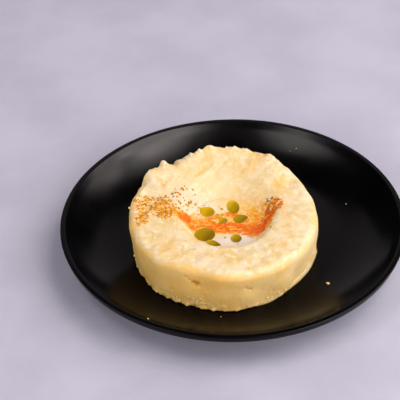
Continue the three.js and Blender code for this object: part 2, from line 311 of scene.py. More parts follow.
PITS = (  # angle, height, radius, depth
    (-115.5, 22.8, 0.9, 0.6),
    (-113, 21.4, 0.8, 0.6),
    (-110.5, 20.4, 1.1, 0.9),
    (-108.3, 19.4, 1.6, 1.3),
    (-77, 18, 1.1, 0.7),
    (-79.5, 19.3, 0.9, 0.6),
    (-105, 14, 0.6, 0.5),
    (-125, 12.5, 0.9, 0.5),
    (-62, 11.5, 0.7, 0.5),
    (12, 14, 1.3, 0.8),
    (64, 13, 1.6, 1),
    (118, 17, 1.2, 0.9),
    (163, 12, 1.4, 0.8),
)
FOOT_BITES = ((-31, 19, 2.1), (-68, 8, 1.6))  # angle, spread, how far the foot has crumbled back
BITE_HEIGHT = 20
DRAG_TURN = 52  # heading in plan of the spoon's strokes up the back wall
DRAG_SIZE = (16, 3.2)
DRAG_DEPTH = 0.45
# Layers of fine lumps: their height, their size and the seed of their places.
SIDE_GRAIN = ((0.12, 6, 0), (0.07, 2, 7))
FOOT_FRINGE = ((1.5, 2.6, 13), (0.7, 1.2, 15))
TOP_GRAIN = ((0.1, 5, 2), (0.09, 2.2, 4), (0.06, 1, 9))
PULLED_GRAIN = ((0.3, 4.5, 6), (0.2, 1.8, 8), (0.1, 0.9, 10))
FRONT_EDGE_WAVES = ((0.8, 9, 16), (0.3, 3.5, 18))
TORN_EDGE_WAVES = ((0.7, 2.2, 20), (0.6, 1.1, 22))


def seeded(seed):
    """Even draws from 0 to 1, the same in every run."""
    while True:
        seed = (seed * 1664525 + 1013904223) % 2**32
        yield seed / 2**32


def lumps(seed, count, shortest, longest, height):
    """Uneven lumps in space, as a sum of seeded waves."""
    draw = seeded(seed)
    waves = []
    for _ in range(count):
        length = shortest + (longest - shortest) * next(draw)
        heading = 2 * math.pi * next(draw)
        rise = 2 * next(draw) - 1
        phase = 2 * math.pi * next(draw)
        level = math.sqrt(1 - rise * rise)
        direction = Vector((level * math.cos(heading), level * math.sin(heading), rise))
        waves.append((direction * 2 * math.pi / length, phase))
    share = height / math.sqrt(count)
    return lambda point: share * sum(math.cos(wave.dot(point) + phase) for wave, phase in waves)


side_lumps = lumps(11, 14, 9, 24, 0.32)
top_lumps = lumps(23, 18, 5.5, 14, 0.22)
crest_lumps = lumps(37, 12, 4.5, 10, 0.3)


def lerp(first, second, share):
    return first + (second - first) * share


def smoothstep(value, low, high):
    share = min(max((value - low) / (high - low), 0), 1)
    return share * share * (3 - 2 * share)


def apart(angle, at):
    return (angle - at + 540) % 360 - 180


def bell(angle, at, spread):
    return math.exp(-(apart(angle, at) / spread) ** 2)


def humps(angle, rows):
    """The height at an angle of smooth humps, each with its own angle, spread and height."""
    return sum(height * bell(angle, at, spread) for at, spread, height in rows)


def bearing(point, centre):
    """The angle in plan, in degrees, at which a place lies about a centre."""
    away = point.xy - centre
    return math.degrees(math.atan2(away.y, away.x))


def polar(centre, radius, angle, z):
    turn = math.radians(angle)
    return Vector((centre.x + radius * math.cos(turn), centre.y + radius * math.sin(turn), z))


@lru_cache(None)
def raggedness(angle):
    """How far the rim stands up: 0 along the smooth front, 1 along the ragged back."""
    turn = apart(angle, 0)
    return smoothstep(turn, *CREST_START) * (1 - smoothstep(turn, *CREST_END))


@lru_cache(None)
def crag_rise(angle):
    uneven = crest_lumps(polar(TOP_CENTRE, TOP_RADIUS, angle, TOP_Z))
    return humps(angle, CRAGS) + raggedness(angle) * uneven


@lru_cache(None)
def rim_z(angle):
    return TOP_Z + CREST_RISE * raggedness(angle) + crag_rise(angle)


@lru_cache(None)
def shoulder(angle):
    return lerp(SHOULDER, CREST, raggedness(angle))


def side_point(angle, z, inset=0.0):
    """A point of the moulded side, pushed in or out by its lumps; inset is measured inwards."""
    share = min((z - BASE_Z) / (TOP_Z - BASE_Z), 1)
    dent = sum(lerp(base, top, share) * bell(angle, at, spread) for at, spread, base, top in DENTS)
    radius = lerp(BASE_RADIUS, TOP_RADIUS, share) - dent - inset
    centre = BASE_CENTRE.lerp(TOP_CENTRE, share)
    return polar(centre, radius + side_lumps(polar(centre, radius, angle, z)), angle, z)


@lru_cache(None)
def rim_point(angle):
    return side_point(angle, rim_z(angle), shoulder(angle))


@lru_cache(None)
def well_reach(angle):
    stretch = WELL_STRETCH * math.cos(math.radians(2 * (angle - FRONT)))
    return WELL_RADIUS + stretch + humps(angle, WELL_SPREADS)


def well_share(point):
    """How far out from the well's middle a place lies, 1 at its lip."""
    return (point.xy - WELL_CENTRE).length / well_reach(round(bearing(point, WELL_CENTRE)))


def well_lip_z(angle):
    return TOP_Z + WELL_LIP_RISE * raggedness(angle) - WELL_LIP_ROUND


def well_z(angle, share):
    front = 0.5 + 0.5 * math.cos(math.radians(angle - FRONT))
    steepness = lerp(*WELL_STEEPNESS, front)
    softness = lerp(*WELL_SOFTNESS, front)
    climb = share ** steepness * (1 + softness * steepness * (1 - share))
    return lerp(WELL_FLOOR_Z, well_lip_z(angle), climb)


def well_point(angle, share):
    return polar(WELL_CENTRE, well_reach(angle) * share, angle, well_z(angle, share))


def top_point(angle, share):
    """The broad top between the rim, at share 0, and the well's lip, at share 1."""
    outer = rim_point(angle)
    lip = polar(WELL_CENTRE, well_reach(angle), angle, well_lip_z(angle))
    point = outer.lerp(lip, share)
    crest = lerp(lip.z, outer.z - crag_rise(angle), (1 - share) ** CREST_FADE)
    crags = crag_rise(angle) * (1 - share) ** CRAG_FADE
    rounding = WELL_LIP_ROUND * smoothstep(1 - share, 0, WELL_LIP_BAND) * (1 - (1 - share) ** 3)
    uneven = top_lumps(point) * math.sin(math.pi * min(share + WELL_LIP_BAND, 1))
    point.z = crest + crags + rounding + uneven
    return point


def shoulder_point(angle, turn):
    inset = shoulder(angle) * (1 - math.cos(turn))
    drop = shoulder(angle) * (1 - math.sin(turn))
    return side_point(angle, rim_z(angle) - drop, inset)


def fine(point, size, seed=0):
    """Fine unevenness from -1 to 1, with lumps of about this size in mm."""
    return noise.noise(point / size + Vector((seed * 7.3, seed * 3.1, 0)))


def layered(point, layers):
    return sum(height * fine(point, size, seed) for height, size, seed in layers)


def pit_depth(point, angle):
    """How deep the air pits reach here."""
    depth = 0
    for at, height, radius, deepest in PITS:
        across = math.radians(apart(angle, at)) * BASE_RADIUS
        away = math.hypot(across, point.z - height) / radius
        if away < 2:
            depth += deepest * math.exp(-(away ** 2) * (1.3 + 0.6 * fine(point, 0.9, 11)))
    return depth


def foot_bite(angle, z):
    """How far the side has crumbled back, most at its foot."""
    return humps(angle, FOOT_BITES) * (1 - smoothstep(z, BASE_Z + 1, BASE_Z + BITE_HEIGHT))


def roughed_side(point, angle):
    """The side with its air pits, its fine grain and the crumbly fringe at its foot."""
    low = 1 - smoothstep(point.z, BASE_Z + 1, BASE_Z + 7)
    lowest = 1 - smoothstep(point.z, BASE_Z, BASE_Z + 2.5)
    ragged = 0.3 + 0.7 * bell(angle, -120, 40)
    push = layered(point, SIDE_GRAIN)
    push += low * ragged * (0.9 * max(fine(point, 2.2, 3), 0) + 0.4 * fine(point, 1.1, 5))
    push += lowest * ragged * (0.5 + layered(point, FOOT_FRINGE))
    push -= foot_bite(angle, point.z) + pit_depth(point, angle)
    return polar(ORIGIN, push, angle, 0)


def dragged(point):
    """1 over the well's back wall, where the spoon was drawn up and out."""
    share = well_share(point)
    within = smoothstep(share, 0.3, 0.6) * (1 - smoothstep(share, 1.1, 1.6))
    return bell(bearing(point, WELL_CENTRE), 100, 55) * within


def drag_mark(point):
    """The spoon's long shallow strokes, from -1 to 1."""
    place = point.xy.copy()
    place.rotate(Matrix.Rotation(-math.radians(DRAG_TURN), 2))
    return noise.noise(Vector((place.x / DRAG_SIZE[0], place.y / DRAG_SIZE[1], 0)))


def roughed_top(point, angle, share):
    """The top's soft pimples, its uneven front edge and the torn nibs along the crest."""
    back = raggedness(angle)
    torn = back * (1 - smoothstep(share, 0.02, 0.16))
    pulled = back * (1 - smoothstep(share, 0.1, 0.85))
    edge = (1 - back) * (1 - smoothstep(share, 0, 0.3))
    nibs = max(fine(point, 1.5, 14), 0) ** 1.5
    lift = layered(point, TOP_GRAIN) + pulled * layered(point, PULLED_GRAIN)
    lift += torn * (0.4 * fine(point, 2.8, 12) + 1.3 * nibs)
    lift += humps(angle, CREST_NIBS) * (1 - smoothstep(share, 0.02, 0.12))
    lift += edge * layered(point, FRONT_EDGE_WAVES)
    lift += DRAG_DEPTH * dragged(point) * drag_mark(point)
    return polar(ORIGIN, torn * layered(point, TORN_EDGE_WAVES), angle, lift)


def mash_stations():
    """For each ring of the skin, from the foot to the well's middle: its place for an angle."""
    def foot(angle, _):
        return side_point(angle, BASE_Z, MASH_FOOT_ROUND) - Vector((0, 0, CONTACT))

    def wall(angle, share):
        top = rim_z(angle) - shoulder(angle)
        point = side_point(angle, lerp(BASE_Z + MASH_FOOT_ROUND, top, share))
        return point + roughed_side(point, angle)

    def rounding(angle, share):
        point = shoulder_point(angle, share * math.pi / 2)
        rough = roughed_side(point, angle) * (1 - share) + roughed_top(point, angle, 0) * share
        return point + rough

    def top(angle, share):
        point = top_point(angle, share)
        return point + roughed_top(point, angle, share)

    def well(angle, share):
        point = well_point(angle, share)
        return point + roughed_top(point, angle, 1) * smoothstep(share, 0.3, 0.7)

    rings = [(lambda angle, _: polar(BASE_CENTRE, 0, 0, BASE_Z - CONTACT), 0), (foot, 0)]
    rings += [(wall, row / (SIDE_RINGS - 1)) for row in range(SIDE_RINGS)]
    rings += [(rounding, row / SHOULDER_RINGS) for row in range(1, SHOULDER_RINGS)]
    rings += [(top, row / TOP_RINGS) for row in range(TOP_RINGS)]
    rings += [(well, 1 - row / WELL_RINGS) for row in range(WELL_RINGS)]
    rings += [(lambda angle, _: polar(WELL_CENTRE, 0, 0, WELL_FLOOR_Z), 0)]
    return rings


def turned_skin(stations, steps):
    """A closed skin: a straight profile is spun, then each ring takes its place from its station."""
    last = len(stations) - 1
    profile = [(0 if row in (0, last) else 1, row) for row in range(len(stations))]
    shape = spun(profile, steps)
    rows = shape.verts.layers.float.new("row")
    for vert in shape.verts:
        vert[rows] = vert.co.z
        station, share = stations[round(vert.co.z)]
        vert.co = station(round(bearing(vert.co, ORIGIN), 3), share) * MM
    bmesh.ops.recalc_face_normals(shape, faces=shape.faces)
    return shape


def eased(shape, rule, rounds):
    """Smooths the vertices that a rule picks out by their place in mm."""
    picked = [vert for vert in shape.verts if rule(vert.co / MM)]
    for _ in range(rounds):
        bmesh.ops.smooth_vert(shape, verts=picked, factor=0.5, use_axis_x=True, use_axis_y=True,
                              use_axis_z=True)
    return shape


def store(piece, name, values):
    piece.data.attributes.new(name, "FLOAT", "POINT").data.foreach_set("value", values)


def marked(piece, name, rule):
    """Marks each vertex of a piece with a number, from a rule on its place in mm."""
    store(piece, name, [rule(vert.co / MM) for vert in piece.data.vertices])


def marked_by_row(piece, name, rule):
    """Marks each vertex of a turned skin, from a rule on its place and on its ring's row."""
    rows = [item.value for item in piece.data.attributes["row"].data]
    store(piece, name, [rule(vert.co / MM, row) for vert, row in zip(piece.data.vertices, rows)])


def mark(tree, name):
    return node(tree, "ShaderNodeAttribute", attribute_name=name).outputs["Fac"]


def oval(point, x, y, along, across, turn=0.0):
    """Distance from an oval patch's middle in plan, 1 at its edge."""
    place = Matrix.Rotation(-math.radians(turn), 2) @ (point.xy - Vector((x, y)))
    return math.hypot(place.x / along, place.y / across)


def patches(spots):
    """A rule that is strongest in the middle of the oval spots and fades to 0 around them."""
    def rule(point):
        return min(sum(strength * math.exp(-oval(point, *spot) ** 2) for *spot, strength in spots), 1)

    return rule


HONEY_SPOTS = (  # x, y, half length, half width, turn, strength
    (4, 5, 15, 5, 0, 0.35),
    (25.3, 11, 5.5, 2.6, 108, 1),
    (12.5, 27.5, 8.5, 4, 45, 0.8),
    (-33.5, 13.8, 6, 1.5, 62, 0.8),
    (-22.5, 23.5, 7, 1.7, 65, 0.8),
    (-12, 33.7, 5, 2, 45, 0.7),
    (-17.5, 20.5, 9, 1.4, 52, 0.7),
    (5, 41, 3, 1.6, 0, 0.9),
    (-46.8, -13.5, 4.5, 1.5, 80, 1),
    (27.5, -19, 8, 2.2, 88, 0.8),
    (23, -37, 5, 3, 20, 0.7),
    (-33, -35.5, 8, 2.8, -42, 0.7),
    (-13.5, -43, 5, 2.6, 10, 0.6),
    (0, -46.5, 4, 1.8, 5, 0.6),
)
PAPRIKA_TRAIL = (  # x, y, half width, strength
    (-28.5, -6.2, 1.6, 0.8),
    (-26.6, -6.6, 2.4, 1.1),
    (-24.6, -7.6, 4, 1.25),
    (-22, -10.4, 4.2, 0.75),
    (-18, -12.6, 5, 0.68),
    (-13.4, -12.4, 5, 0.8),
    (-9.9, -14.5, 4.2, 1),
    (-4.5, -14.4, 4.6, 1.3),
    (1.4, -14.4, 4.8, 1.2),
    (5.8, -15.6, 5, 1.05),
    (10, -16.6, 6, 1.05),
    (14, -15.6, 4.8, 1.15),
    (17, -11.4, 4.2, 0.9),
    (20.4, -7.4, 3, 0.3),
    (23, -3.4, 3, 0.1),
)
# Deeper red paprika at the trail's right end, with painted shade darkening it in the corner under the
# well's front-right wall.
SHADED_DEEP_RED_SPOTS = (  # as HONEY_SPOTS
    (11.5, -17, 5, 3.5, 40, 0.75),
    (17.5, -10.5, 6, 3, 60, 0.8),
    (22, -5, 4, 3.5, 0, 0.7),
)
PAPRIKA_SPOTS = (  # as HONEY_SPOTS
    (-0.6, -4, 4.2, 2.4, 0, 1.1),
    (-10.6, -5.6, 4.4, 2, 20, 0.9),
    (-15.4, -9.5, 4.2, 3, 0, 1),
    (-6, -6.5, 5, 2.5, 0, 0.6),
    (13.5, -5.5, 7.5, 6, -20, 0.62),
    (6, -9, 5, 4, 0, 0.6),
)
MILKY_SPOTS = (  # as HONEY_SPOTS
    (-23, 4, 9, 8.5, 0, 1),
    (-12, 3, 8, 7, 0, 0.9),
    (-2, 0, 5, 4, 0, 0.6),
    (17, 1, 4, 3, 0, 0.8),
)
FILM_REACH = ((158, 30, 0.3), (30, 30, 0.05))  # angle, spread, share of the well
FILM_EDGE = 0.01
DUST_PATCHES = (  # as HONEY_SPOTS
    (-40, -4, 12, 7.5, -10, 0.85),
    (-34, -6, 2.8, 7, 5, 1.6),
    (-47, -13.5, 2.6, 5.5, 0, 1.5),
    (-30, -8, 5, 5, 0, 0.7),
    (21.5, -4, 4.5, 5.5, -30, 1.1),
    (14.6, -2.4, 8.5, 6.6, -20, 1.3),
    (0, -7, 9, 4, 0, 0.4),
    (-17, -7, 5, 4, 0, 0.4),
    (-19, -3, 3.5, 2.5, 0, 0.5),
)


def trail(point):
    """The paprika's strength: highest along the middle of its trail, fading to 0 beyond its edges."""
    best = 0.0
    for first, second in zip(PAPRIKA_TRAIL, PAPRIKA_TRAIL[1:]):
        start = Vector(first[:2])
        step = Vector(second[:2]) - start
        share = min(max((point.xy - start).dot(step) / step.length_squared, 0), 1)
        width, strength = (lerp(a, b, share) for a, b in zip(first[2:], second[2:]))
        away = (point.xy - start - step * share).length / width
        best = max(best, strength * (1 - smoothstep(away, 0.55, 1.3)))
    for *spot, strength in PAPRIKA_SPOTS:
        best = max(best, strength * math.exp(-oval(point, *spot) ** 2))
    return best


@lru_cache(None)
def cream_share(angle):
    """Share of the well's reach at which its wall meets the cream's edge."""
    share = 0
    while well_z(angle, share) + CREAM_GAP < CREAM_Z - CREAM_EDGE:
        share += EDGE_STEP
    return share


milky = patches(MILKY_SPOTS)


def film(point):
    """Cream that has wetted the well's wall above its level: 1 beside the pool, fading upwards."""
    angle = round(bearing(point, WELL_CENTRE))
    reach = FILM_EDGE + humps(angle, FILM_REACH)
    above = well_share(point) - cream_share(angle)
    return max(1 - smoothstep(above, 0.2 * reach, reach), milky(point))


def new_group(name, results):
    """A shader group that takes a place and an amount, with its start and its end."""
    group = bpy.data.node_groups.new(name, "ShaderNodeTree")
    group.interface.new_socket("Vector", in_out="INPUT", socket_type="NodeSocketVector")
    group.interface.new_socket("Amount", in_out="INPUT", socket_type="NodeSocketFloat")
    for result in results:
        group.interface.new_socket(result, in_out="OUTPUT", socket_type="NodeSocketFloat")
    return group, group.nodes.new("NodeGroupInput").outputs, group.nodes.new("NodeGroupOutput")


def paprika_marbling():
    """A shader group: a share of paprika broken into wet swirls and specks."""
    group, start, end = new_group("paprika_marbling", ("Mask", "Depth"))
    along = node(group, "ShaderNodeMapping", {"Vector": start["Vector"], "Scale": (0.85, 1.1, 1.1)})
    swirl = grain(group, along.outputs["Vector"], 3.4, detail=4, distortion=1.6)
    speck = grain(group, start["Vector"], 1.2)
    broken = maths(group, "ADD", times(group, swirl, 4.4), times(group, speck, 1.2))
    total = maths(group, "ADD", maths(group, "SUBTRACT", broken, 2.65), start["Amount"])
    within = ranged(group, start["Amount"], 0.05, 0.35)
    feed(end, {"Mask": times(group, ranged(group, total, 0.3, 0.8), within),
               "Depth": ranged(group, total, 0.6, 1.7)})
    return group


def paprika_haze():
    """A shader group: a share of dry paprika as a fine, uneven haze."""
    group, start, end = new_group("paprika_haze", ("Mask",))
    cloud = ranged(group, grain(group, start["Vector"], 1.9), 0.4, 0.56)
    feed(end, {"Mask": times(group, times(group, start["Amount"], cloud), 0.95)})
    return group


MARBLING = paprika_marbling()
HAZE = paprika_haze()
HAZE_GOLD = srgb(236, 166, 30)
STAIN_REDS = (srgb(242, 158, 20), srgb(236, 98, 0))  # where it is thin, where it is thick
# A deeper red with painted shade, for the trail's right end under the well's front-right wall.
STAIN_SHADED_DEEP_RED = srgb(222, 84, 0)


def with_paprika(tree, where, base):
    """A colour with the paprika's haze and its wet trail over it, and the trail's mask."""
    dust = {"Vector": where, "Amount": mark(tree, "dust")}
    haze = node(tree, "ShaderNodeGroup", dust, node_tree=HAZE).outputs["Mask"]
    wet = {"Vector": where, "Amount": mark(tree, "paprika")}
    swirls = node(tree, "ShaderNodeGroup", wet, node_tree=MARBLING).outputs
    red = mixed(tree, swirls["Depth"], *STAIN_REDS)
    # Painted shade: the trail turns darker red at its right end, in the corner under the well's
    # front-right wall.
    red = mixed(tree, mark(tree, "shaded_deep_red"), red, STAIN_SHADED_DEEP_RED)
    return mixed(tree, swirls["Mask"], mixed(tree, haze, base, HAZE_GOLD), red), swirls["Mask"]


POTATO = (srgb(232, 203, 148), srgb(238, 215, 174))
POTATO_PATCH = srgb(231, 194, 120)
POTATO_STROKE = srgb(233, 198, 132)
POTATO_CURD = srgb(243, 224, 200)
POTATO_FLECK = srgb(246, 230, 212)
POTATO_DRAGGED = srgb(231, 204, 154)
PRESSED_SIDE = (srgb(244, 193, 104), srgb(246, 203, 122))
PRESSED_FLECK = srgb(248, 215, 150)
PIT_SHADE = srgb(206, 152, 62)
HONEY = srgb(236, 180, 78)
FILM_COLOUR = srgb(230, 202, 174)
POTATO_ROUGHNESS = (0.5, 0.66)


def mashed_potato():
    material, tree, shader, where = new_material("mashed_potato")
    cloud = grain(tree, where, 10)
    patch = grain(tree, where, 6.5, distortion=0.8)
    curd = grain(tree, where, 3)
    fleck = grain(tree, where, 1.2, detail=2)
    along = {"Vector": where, "Rotation": (0, 0, math.radians(DRAG_TURN)), "Scale": (5, 1, 1)}
    stroke = grain(tree, node(tree, "ShaderNodeMapping", along, vector_type="TEXTURE").outputs[0], 3)
    swept = mark(tree, "dragged")
    top = mixed(tree, ranged(tree, cloud, 0.36, 0.62), *POTATO)
    top = mixed(tree, ranged(tree, patch, 0.5, 0.68, 0, 0.8), top, POTATO_PATCH)
    top = mixed(tree, times(tree, ranged(tree, stroke, 0.5, 0.62, 0, 0.7), swept), top, POTATO_STROKE)
    top = mixed(tree, ranged(tree, curd, 0.5, 0.66, 0, 0.7), top, POTATO_CURD)
    top = mixed(tree, ranged(tree, fleck, 0.56, 0.72, 0, 0.3), top, POTATO_FLECK)
    top = mixed(tree, times(tree, swept, 0.45), top, POTATO_DRAGGED)
    side = mixed(tree, ranged(tree, cloud, 0.35, 0.65), *PRESSED_SIDE)
    side = mixed(tree, ranged(tree, fleck, 0.54, 0.72, 0, 0.3), side, PRESSED_FLECK)
    # The moulded mark also holds painted light: the side's right, towards the window, takes more of the
    # top's colour.
    colour = mixed(tree, mark(tree, "moulded"), top, side)
    # Painted shade: the inside of each air pit is darkened towards a deeper brown.
    colour = mixed(tree, mark(tree, "pitted"), colour, PIT_SHADE)
    honey = times(tree, mark(tree, "honey"), ranged(tree, patch, 0.3, 0.6, 0.5, 1))
    colour = mixed(tree, times(tree, honey, 0.8), colour, HONEY)
    wet = times(tree, mark(tree, "film"), ranged(tree, patch, 0.35, 0.6, 0.6, 1))
    colour = mixed(tree, times(tree, wet, 0.85), colour, FILM_COLOUR)
    height = maths(tree, "ADD", fleck, times(tree, grain(tree, where, 0.8, detail=2), 0.5))
    feed(shader, {
        "Base Color": with_paprika(tree, where, colour)[0],
        "Roughness": ranged(tree, fleck, 0.3, 0.7, *POTATO_ROUGHNESS),
        "Normal": bumped(tree, height, 0.18),
        "Specular IOR Level": 0.15,
        "Subsurface Weight": 0.3,
        "Subsurface Radius": (1.0, 0.5, 0.18),
        "Subsurface Scale": 2 * MM,
    })
    return material


def moulded(point, row):
    """1 on the moulded side, 0 on the top, and less on the side's right, towards the window, where
    painted light makes it lighter and less golden.
    """
    edge = SIDE_RINGS + 5 + 3 * fine(point, 5, 24)
    # Painted light: the side facing the window on the right is turned lighter and less golden.
    painted_light = 0.6 * bell(bearing(point, TOP_CENTRE), -20, 45)
    return (1 - smoothstep(row, edge - 2, edge + 3)) * (1 - painted_light)


def pitted(point, row):
    """1 deep in an air pit."""
    if row >= SIDE_RINGS:
        return 0
    return smoothstep(pit_depth(point, round(bearing(point, TOP_CENTRE))), 0.15, 0.9)


def near_lip(point):
    """Whether a place is on the well's rounded lip."""
    inner, outer = WELL_LIP_EASED
    return inner < well_share(point) < outer


potato = mashed_potato()
mash_shape = eased(turned_skin(mash_stations(), MASH_STEPS), near_lip, WELL_LIP_EASINGS)
mash = made("mash_round", mash_shape, potato)
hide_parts("mash")
marked(mash, "honey", patches(HONEY_SPOTS))
marked(mash, "paprika", trail)
marked(mash, "shaded_deep_red", patches(SHADED_DEEP_RED_SPOTS))
marked(mash, "film", film)
marked(mash, "dragged", dragged)
marked(mash, "dust", patches(DUST_PATCHES))
marked_by_row(mash, "moulded", moulded)
marked_by_row(mash, "pitted", pitted)


# ---- Cream ----
# Thin cream that has pooled in the bottom of the well. Paprika lies wet across it as an orange
# trail, marbled where the cream has run into it. Its edge creeps a little way up the potato.

CREEP = 1.8  # how far the edge reaches into the potato
MENISCUS = 0.22
MENISCUS_WIDTH = 1.5
CREAM_RIPPLES = ((0.1, 6, 21), (0.06, 2, 23))  # height, size, seed
BARE_SPOTS = (  # as HONEY_SPOTS
    (-2, -25, 12, 5, 0, 1),
    (5, -24, 6, 4, 0, 0.6),
)
CREAM_STEPS = 160
CREAM_RINGS = 30
UNDER_SHARES = (0.25, 0.5, 0.75, 0.95)


def cream_stations():
    def under(angle, share):
        point = well_point(angle, share * cream_share(angle))
        return point + Vector((0, 0, CREAM_GAP * (1 - share)))

    def surface(angle, share):
        reach = well_reach(angle) * cream_share(angle) + CREEP
        point = polar(WELL_CENTRE, reach * share, angle, CREAM_Z)
        point.z += layered(point, CREAM_RIPPLES)
        edge = reach - CREEP
        point.z += MENISCUS * smoothstep(reach * share, edge - MENISCUS_WIDTH, edge)
        return point

    rings = [(lambda angle, _: polar(WELL_CENTRE, 0, 0, WELL_FLOOR_Z + CREAM_GAP), 0)]
    rings += [(under, share) for share in UNDER_SHARES]
    rings += [(surface, 1 - row / CREAM_RINGS) for row in range(CREAM_RINGS)]
    rings += [(surface, 0)]
    return rings


CREAM_WARM = (srgb(240, 202, 128), srgb(238, 194, 112))
CREAM_MILKY = srgb(250, 226, 196)
CREAM_BARE = srgb(235, 221, 211)
CREAM_ROUGHNESS = (0.28, 0.55)  # clean, and under paprika


def thin_cream():
    material, tree, shader, where = new_material("thin_cream")
    fleck = grain(tree, where, 2.4)
    plain = mixed(tree, ranged(tree, fleck, 0.4, 0.65), *CREAM_WARM)
    plain = mixed(tree, times(tree, mark(tree, "milky"), 0.85), plain, CREAM_MILKY)
    plain = mixed(tree, mark(tree, "bare"), plain, CREAM_BARE)
    colour, stain = with_paprika(tree, where, plain)
    height = maths(tree, "ADD", times(tree, stain, 0.6), times(tree, fleck, 0.5))
    feed(shader, {
        "Base Color": colour,
        "Roughness": ranged(tree, stain, 0, 1, *CREAM_ROUGHNESS),
        "Normal": bumped(tree, height, 0.18),
        "Specular IOR Level": 0.15,
        "Subsurface Weight": 0.15,
        "Subsurface Radius": (1.0, 0.6, 0.3),
        "Subsurface Scale": 1 * MM,
    })
    return material


cream = made("cream_in_well", turned_skin(cream_stations(), CREAM_STEPS), thin_cream())
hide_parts("cream_pool")
marked(cream, "paprika", trail)
marked(cream, "shaded_deep_red", patches(SHADED_DEEP_RED_SPOTS))
marked(cream, "bare", patches(BARE_SPOTS))
marked(cream, "milky", milky)
marked(cream, "dust", patches(DUST_PATCHES))


# ---- Oil ----
# Drops of green olive oil that float on the cream as flat lenses, with a few tiny beads beside
# them. They are clear, each with its own yellow-to-olive depth of colour, and painted light and
# shade run across each drop: lighter to the left and back, darker olive to the right and front.

OIL_SINK = 0.45  # how far a drop's underside dips into the cream
OIL_FLATNESS = 0.62
OIL_FORMS = {  # turn, stretch to the side and back, shift in mm to the side and back, depth of colour
    "large": (0, 1.08, 1.18, -0.3, 0.2, 0.8),
    "sliver": (14, 1, 1.6, -0.2, 0.7, 0.7),
    "tear": (0, 1.03, 1.16, -0.2, 0.9, 0.3),
    "back": (0, 1.03, 1.2, 0, 0.9, 0.5),
    "right": (0, 1.04, 1.16, 0, 0.9, 0.85),
    "front": (0, 1, 1.18, 0, 0.5, 0.65),
    "small": (0, 1.12, 1.2, 0, 0.6, 0.55),
}
# Painted light and shade across each drop: darker to the right and front, lighter to the left and back.
OIL_PAINTED_SHADE_TILT = (0.5, -0.3)  # how the colour deepens to the right and to the front
OIL_TAIL = (145, 0.9, 5)  # the tear's: heading, share of its half length where it starts, reach
OIL_TAIL_PINCH = 0.7
OIL_BEAD_FORM = Vector((1, 0.85, 0.4))
OIL_BEAD_DEPTH = 0.25
OIL_BEADS = (  # x, y, radius
    (-4.5, -22.3, 0.7),
    (-9.6, -10.2, 0.9),
    (-5.3, 0.8, 0.9),
    (-18.9, 3.4, 1),
    (-17.5, 2.2, 0.8),
    (-7.6, -3.6, 0.7),
    (-5.1, -3.8, 1),
    (1.8, -27.6, 0.45),
    (-7.4, -6.6, 0.6),
    (-21.5, -13.8, 0.6),
)
OIL_THIN = (srgb(210, 170, 2), srgb(166, 132, 0))
OIL_DEEP = srgb(124, 96, 0)
OIL_ROUGHNESS = (0.2, 0.28)


def olive_oil():
    material, tree, shader, where = new_material("olive_oil")
    cloud = grain(tree, where, 4, detail=2)
    # The deep mark holds each drop's own depth of colour together with its painted light and shade.
    tone = maths(tree, "ADD", mark(tree, "deep"), times(tree, cloud, 0.4))
    light = mixed(tree, ranged(tree, tone, 0.2, 0.75), *OIL_THIN)
    feed(shader, {
        "Base Color": mixed(tree, ranged(tree, tone, 0.75, 1.4), light, OIL_DEEP),
        "Roughness": ranged(tree, cloud, 0.3, 0.7, *OIL_ROUGHNESS),
        "Specular IOR Level": 0.06,
        "Subsurface Weight": 0.25,
        "Subsurface Radius": (1.0, 0.8, 0.1),
        "Subsurface Scale": 1.5 * MM,
    })
    return material


def draw_tail(shape, foot, half):
    """Draws one side of a drop out to a thin tail."""
    angle, start, reach = OIL_TAIL
    heading = polar(ORIGIN, 1, angle, 0)
    for vert in shape.verts:
        along = (vert.co - foot).dot(heading)
        drawn = smoothstep(along / half, start - 0.6, start)
        aside = vert.co - foot - heading * along
        vert.co += heading * (reach * MM * drawn ** 2) - aside * drawn * OIL_TAIL_PINCH


oil = olive_oil()
for node_name in sorted(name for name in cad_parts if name.startswith("oil_drop")):
    turn, wider, deeper, right, back, depth = OIL_FORMS[node_name.split("_")[-1]]
    low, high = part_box(node_name)
    foot = Vector(((low.x + high.x) / 2, (low.y + high.y) / 2, low.z))
    drop_shape = bmesh.new()
    drop_shape.from_mesh(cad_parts[node_name].data)
    bmesh.ops.remove_doubles(drop_shape, verts=drop_shape.verts, dist=0.001 * MM)
    bmesh.ops.rotate(drop_shape, verts=drop_shape.verts, cent=foot,
                     matrix=Matrix.Rotation(math.radians(turn), 3, "Z"))
    bmesh.ops.scale(drop_shape, verts=drop_shape.verts, vec=(wider, deeper, OIL_FLATNESS),
                    space=Matrix.Translation(-foot))
    bmesh.ops.subdivide_edges(drop_shape, edges=drop_shape.edges, cuts=1, smooth=1, use_grid_fill=True)
    if node_name.endswith("tear"):
        draw_tail(drop_shape, foot, (high.x - low.x) / 2)
    bmesh.ops.translate(drop_shape, verts=drop_shape.verts, vec=Vector((right, back, -OIL_SINK)) * MM)
    drop = made(node_name.replace("oil_drop", "oil_lens"), drop_shape, oil)
    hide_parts(node_name)
    smooth = drop.modifiers.new("smooth", "SUBSURF")
    smooth.levels = 1
    smooth.render_levels = 1
    middle = (low + high).xy / (2 * MM)
    half = (high - low).xy / (2 * MM)
    rise = Vector((OIL_PAINTED_SHADE_TILT[0] / half.x, OIL_PAINTED_SHADE_TILT[1] / half.y))
    # Painted light and shade: each drop's colour deepens towards its right and front.
    marked(drop, "deep", lambda point: depth + rise.dot(point.xy - middle))


CLEAR_ABOVE = 60


def height_on(tree, x, y):
    """The point and the normal of a surface, straight below a place in plan, all in mm."""
    place, normal, _, _ = tree.ray_cast(Vector((x, y, CLEAR_ABOVE)) * MM, Vector((0, 0, -1)))
    return (place / MM, normal) if place is not None else (None, None)


